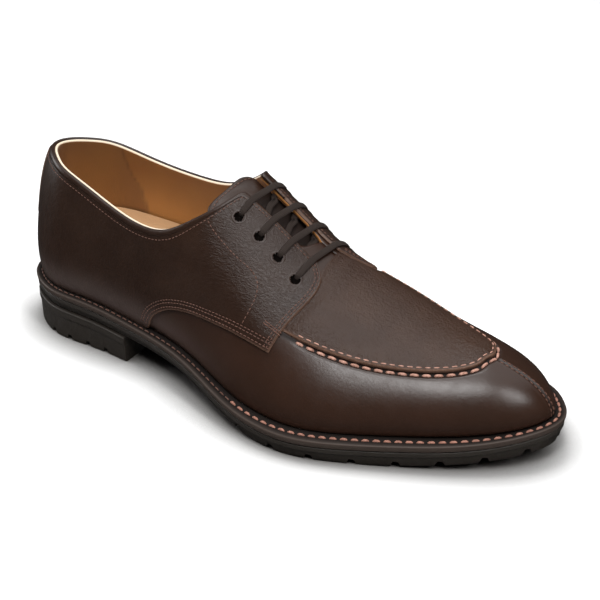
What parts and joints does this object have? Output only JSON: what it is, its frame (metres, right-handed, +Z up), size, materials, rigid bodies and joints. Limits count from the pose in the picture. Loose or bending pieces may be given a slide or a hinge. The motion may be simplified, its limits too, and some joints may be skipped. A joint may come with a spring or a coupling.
{
  "type": "derby shoe",
  "caption": "Right leather derby shoe with an apron front, open lacing over a tongue, a stitched welt and a cleated rubber sole with a low heel.",
  "frame": {"origin": "on the floor, under the middle of the welt's outline", "axes": "+X towards the toe, +Y towards the medial (inner) side, +Z up"},
  "size_m": [0.313, 0.1152, 0.1062],
  "materials": {
    "upper_leather": "semi-gloss dark brown with a fine grain",
    "quarter_leather": "semi-gloss dark brown with a fine grain",
    "apron_leather": "semi-gloss dark brown with a fine grain",
    "tongue_leather": "semi-gloss dark brown",
    "lace_cloth": "dark brown flat braid",
    "insole_leather": "pale tan, matt",
    "welt_leather": "dark brown with a stained edge",
    "sole_rubber": "black, matt"
  },
  "bodies": {
    "root": {"upper": "upper_leather", "quarter_lateral": "quarter_leather", "quarter_medial": "quarter_leather", "apron": "apron_leather", "tongue": "tongue_leather", "lace_1": "lace_cloth", "lace_2": "lace_cloth", "lace_3": "lace_cloth", "lace_4": "lace_cloth", "insole": "insole_leather", "welt": "welt_leather", "outsole": "sole_rubber", "heel_block": "sole_rubber"}
  },
  "joints": []
}
